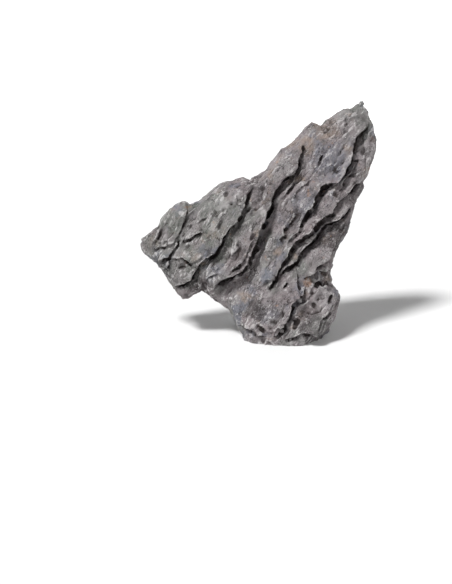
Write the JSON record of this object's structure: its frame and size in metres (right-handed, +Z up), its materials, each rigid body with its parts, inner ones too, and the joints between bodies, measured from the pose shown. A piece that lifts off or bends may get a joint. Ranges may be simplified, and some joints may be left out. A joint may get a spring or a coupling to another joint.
{
  "type": "dragon stone",
  "caption": "Upright slab of layered grey stone with scaly broken ledges, a tall pointed end, a blunt side wing and a level foot to stand on.",
  "frame": {"origin": "near the middle of the level foot, on its plane", "axes": "+Z up, -Y out of the broad front face, +X towards the side that the pointed end leans to"},
  "size_m": [0.2347, 0.1137, 0.2257],
  "materials": {
    "stone": "rough, matt, layered grey stone with paler mineral flecks"
  },
  "bodies": {
    "root": {"stone": "stone"}
  },
  "joints": []
}
